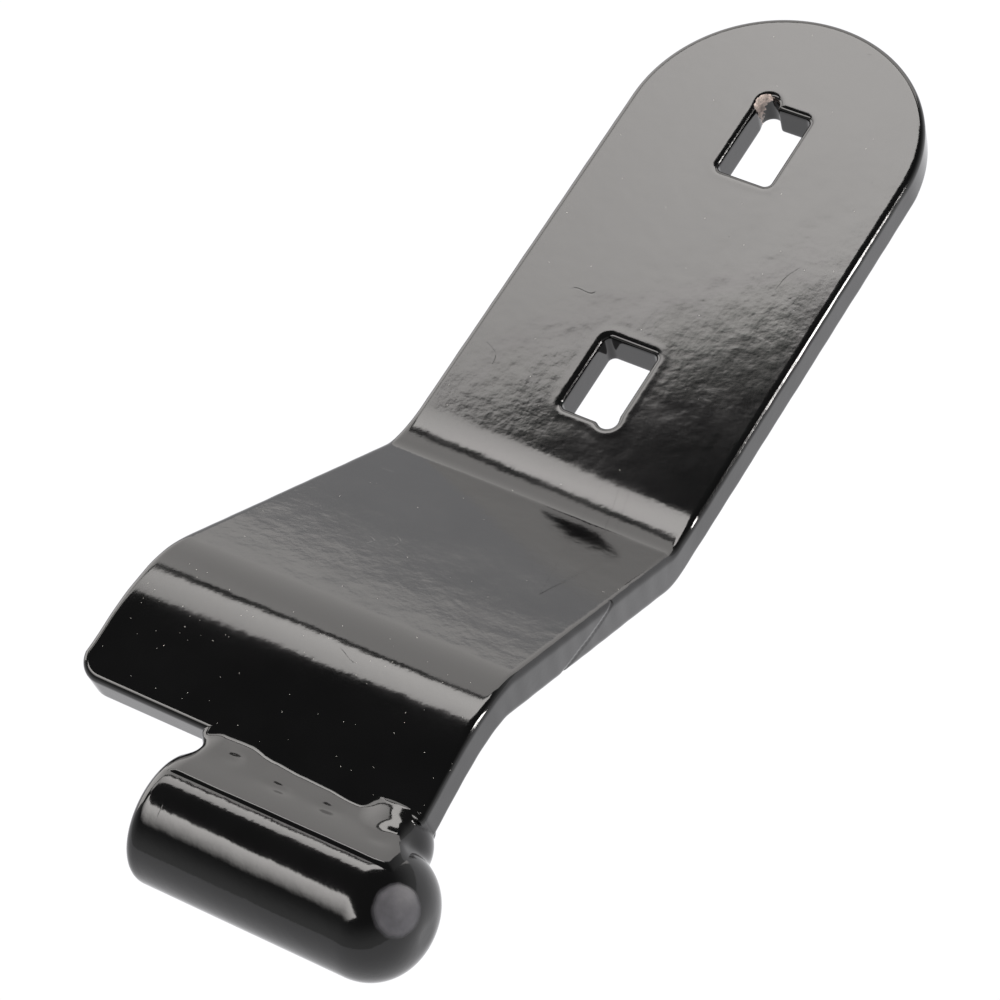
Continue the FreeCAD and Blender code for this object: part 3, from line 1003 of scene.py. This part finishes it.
    def under(self, p):
        """The bead in the corner between the plate's back face and the bar."""
        heart = self.end + self.back * 1.4 + self.down * (self.thick + 0.4)
        along = np.clip(p[:, 0], self.bead_left + 4.0, self.bead_right - 3.0)
        beat = 0.22 * np.sin(p[:, 0] * 1.15) + 0.12 * np.sin(p[:, 0] * 0.47)
        rel = np.stack([p[:, 0] - along, p[:, 1] - heart[0], p[:, 2] - heart[1]], axis=-1)
        return np.linalg.norm(rel, axis=1) - 4.3 - beat

    def steel(self, p):
        return np.minimum(self.toe(p), self.bar(p))

    def skin(self, p, bead, reach):
        """The bead with its fillets, as a shell that ends just under the steel's faces."""
        full = np.minimum(smooth_min(self.bar(p), bead, 1.8), self.toe(p))
        shell = np.maximum(full + SKIN_INSET, -self.steel(p) - 1.3)
        return np.maximum(shell, bead - reach)

    def upper_field(self, p):
        bead = smooth_min(self.ramp(p), self.wrap(p), 2.2)
        return self.skin(p, bead, 3.2)

    def lower_field(self, p):
        return self.skin(p, self.under(p), 3.0)


class LATCH_OT_weld(bpy.types.Operator):
    """Lay the weld beads between the strap's toe and the bar"""
    bl_idname = "latch.weld"
    bl_label = "Weld beads"

    def execute(self, context):
        shape = WeldShape(context.scene)
        cell = context.scene.latch_weld.cell / MM
        end, axis = shape.end, shape.axis
        jobs = (
            ("weld_face_bead", shape.upper_field, ("weld_top", "weld_return"),
             (shape.left - 4, axis[0] - 3, end[1] - 22), (shape.right - 2, end[0] + 14, end[1] + 9)),
            ("weld_root_bead", shape.lower_field, ("weld_under",),
             (shape.left - 4, end[0] - 11, end[1] - 22), (shape.right - 2, end[0] + 11, end[1] - 2)),
        )
        for name, field, nodes, low, high in jobs:
            points, faces = field_mesh(field, low, high, cell)
            piece = new_piece(name, points, faces)
            settle(piece, "weld_paint", *nodes)
        return {"FINISHED"}



class LATCH_OT_dust(bpy.types.Operator):
    """Scatter dust specks caught in the paint of the upper faces"""
    bl_idname = "latch.dust"
    bl_label = "Dust specks"

    def execute(self, context):
        strap = bpy.data.objects["strap_plate"]
        shape = StrapShape(context.scene.latch_strap)
        piece = run_tree("dust_specks", strap.data.copy(), self.speck_tree(), {
            "Density": context.scene.latch_paint.specks, "Size": 0.0001, "Seed": 11,
            "Knee": shape.knee_y * MM + 0.004, "Dust": bpy.data.materials["dust_speck"]})
        settle(piece, "strap_paint", material="dust_speck")
        return {"FINISHED"}

    @staticmethod
    def speck_tree():
        """Specks on upward faces, thick beyond the knee and thin on the rest."""
        tree, given = new_tree("Dust specks", {
            "Density": "Float", "Size": "Float", "Seed": "Int", "Knee": "Float",
            "Dust": "Material"})
        normal = node(tree, "GeometryNodeInputNormal", (-1100, -300)).outputs["Normal"]
        upward = node(tree, "ShaderNodeSeparateXYZ", (-900, -300), {"Vector": normal})
        place = node(tree, "GeometryNodeInputPosition", (-1100, -500)).outputs["Position"]
        parts = node(tree, "ShaderNodeSeparateXYZ", (-900, -500), {"Vector": place})
        beyond = maths(tree, "LESS_THAN", (-700, -500), parts.outputs["Y"], given["Knee"])
        share = ramp(tree, beyond, 0.0, 1.0, (-500, -500), 0.12, 1.0)
        scatter = node(tree, "GeometryNodeDistributePointsOnFaces", (-100, 0), {
            "Mesh": given["Geometry"], "Seed": given["Seed"],
            "Selection": maths(tree, "GREATER_THAN", (-700, -300), upward.outputs["Z"], 0.6),
            "Density": maths(tree, "MULTIPLY", (-300, -400), share, given["Density"])})
        speck = node(tree, "GeometryNodeMeshIcoSphere", (-100, -500),
                     {"Radius": 1.0, "Subdivisions": 1})
        size = node(tree, "FunctionNodeRandomValue", (-100, -700),
                    {"Min": (0.6, 0.4, 0.25), "Max": (2.2, 0.9, 0.5)}, data_type="FLOAT_VECTOR")
        scaled = vector_maths(tree, "SCALE", (100, -600),
                              {0: size.outputs["Value"], "Scale": given["Size"]})
        spin = node(tree, "FunctionNodeRandomValue", (100, -800),
                    {"Min": (0.0, 0.0, 0.0), "Max": (0.3, 0.3, 6.283)}, data_type="FLOAT_VECTOR")
        put = node(tree, "GeometryNodeInstanceOnPoints", (300, 0), {
            "Points": scatter.outputs["Points"], "Instance": speck.outputs["Mesh"],
            "Scale": scaled[0], "Rotation": spin.outputs["Value"]})
        end_tree(tree, put.outputs["Instances"], given["Dust"], 600)
        return tree


class LATCH_OT_stage(bpy.types.Operator):
    """Set the floor, the soft panels, the world and the camera"""
    bl_idname = "latch.stage"
    bl_label = "Stage"

    def execute(self, context):
        stage = context.scene.latch_stage
        self.camera(context, stage.lens)
        low, reach = stage.floor_level, FLOOR_REACH
        glow_panel("floor", [(-reach, -reach, low), (reach, -reach, low), (reach, reach, low),
                             (-reach, reach, low)], lambda tree, place: stage.floor_glow, FLOOR_TINT)
        away = Vector((-0.7065, 0.7077, 0.0))
        across = Vector((0.7077, 0.7065, 0.0))
        up = Vector((0.0, 0.0, 1.0))
        heart = Vector((0.0, -0.05, 0.03))

        def corners(*spots):
            """Places given as distances to the right of the part, beyond it and above it."""
            return [heart + across * right + away * beyond + up * rise
                    for right, beyond, rise in spots]

        def sideways(first, last, low, high):
            """A glow that goes from low to high between two distances to the right."""
            def glow(tree, place):
                dot = vector_maths(tree, "DOT_PRODUCT", (-400, 0), {0: place, 1: across})
                return ramp(tree, dot["Value"], heart.dot(across) + first,
                            heart.dot(across) + last, (-200, 0), low, high)
            return glow

        def wall(tree, place):
            """A glow that is brighter towards the top, and towards the left."""
            parts = node(tree, "ShaderNodeSeparateXYZ", (-400, 0), {0: place})
            tall = ramp(tree, parts.outputs["Z"], 0.0, 2.0, (-200, 0), 2.2, 3.2)
            return maths(tree, "MULTIPLY", (0, 0), tall,
                         sideways(-1.0, 0.6, 1.75, 0.96)(tree, place))

        # a long strip overhead beyond the pad, dimmer to the left
        glow_panel("back_softbox", corners((-1.3, 1.5, 2.0), (1.5, 1.5, 2.0), (1.5, 2.2, 2.0),
                                           (-1.3, 2.2, 2.0)), sideways(-0.4, 0.35, 4.4, 7.9))
        glow_panel("back_wall", corners((-3.2, 2.45, low), (3.2, 2.45, low), (3.2, 2.45, 2.0),
                                        (-3.2, 2.45, 2.0)), wall)
        # overhead and to the left, seen in the bar
        glow_panel("left_softbox", corners((-2.6, -1.4, 2.0), (-1.15, -1.4, 2.0),
                                           (-1.15, 1.15, 2.0), (-2.6, 1.15, 2.0)),
                   sideways(-2.5, -1.15, 0.7, 9.5))
        # narrow and low on the right, seen along the rims
        glow_panel("right_strip", corners((2.3, -0.74, 0.24), (2.3, -0.58, 0.24),
                                          (2.3, -0.31, 1.54), (2.3, -0.47, 1.54)),
                   lambda tree, place: 40.0)
        self.world(context)
        return {"FINISHED"}

    @staticmethod
    def camera(context, lens):
        data = bpy.data.cameras.new("camera")
        data.lens, data.sensor_width = lens, 36.0
        data.clip_start, data.clip_end = 0.01, 50.0
        camera = bpy.data.objects.new("camera", data)
        context.scene.collection.objects.link(camera)
        right, down = Vector(EYE_RIGHT), Vector(EYE_DOWN)
        turn = Matrix((right, -down, -right.cross(down))).transposed()
        camera.matrix_world = Matrix.Translation(EYE) @ turn.to_4x4()
        context.scene.camera = camera

    @staticmethod
    def world(context):
        """A dim room, paler towards the horizon."""
        world = bpy.data.worlds.new("studio")
        world.use_nodes = True
        tree = world.node_tree
        way = node(tree, "ShaderNodeTexCoord", (-800, 0)).outputs["Generated"]
        parts = node(tree, "ShaderNodeSeparateXYZ", (-600, 0), {0: way})
        dim = ramp(tree, parts.outputs["Z"], 0.0, 0.7, (-400, 0), 0.62, 0.12,
                   interpolation_type="SMOOTHSTEP")
        back = tree.nodes["Background"]
        back.inputs["Color"].default_value = (1.0, 1.0, 1.0, 1.0)
        tree.links.new(dim, back.inputs["Strength"])
        context.scene.world = world
        context.scene.view_settings.view_transform = "Standard"


class LATCH_PT_panel(bpy.types.Panel):
    bl_label = "Gate latch bracket"
    bl_space_type = "VIEW_3D"
    bl_region_type = "UI"
    bl_category = "Latch"

    def draw(self, context):
        layout = self.layout
        for operator in OPERATORS:
            layout.operator(operator.bl_idname)
        for holder in HOLDERS:
            settings = getattr(context.scene, holder)
            box = layout.box()
            for name in settings.__annotations__:
                box.prop(settings, name)


OPERATORS = (LATCH_OT_paint, LATCH_OT_strap, LATCH_OT_bar, LATCH_OT_weld, LATCH_OT_dust,
             LATCH_OT_stage)
HOLDERS = {"latch_strap": StrapSettings, "latch_bar": BarSettings, "latch_weld": WeldSettings,
           "latch_paint": PaintSettings, "latch_stage": StageSettings}


def register():
    for kind in (*HOLDERS.values(), *OPERATORS, LATCH_PT_panel):
        bpy.utils.register_class(kind)
    for holder, kind in HOLDERS.items():
        setattr(bpy.types.Scene, holder, PointerProperty(type=kind))


def unregister():
    for holder in HOLDERS:
        delattr(bpy.types.Scene, holder)
    for kind in reversed((*HOLDERS.values(), *OPERATORS, LATCH_PT_panel)):
        bpy.utils.unregister_class(kind)


def main():
    register()
    bpy.ops.latch.paint()
    bpy.ops.latch.strap()
    bpy.ops.latch.bar()
    bpy.ops.latch.weld()
    bpy.ops.latch.dust()
    bpy.ops.latch.stage()


if __name__ == "__main__":
    main()
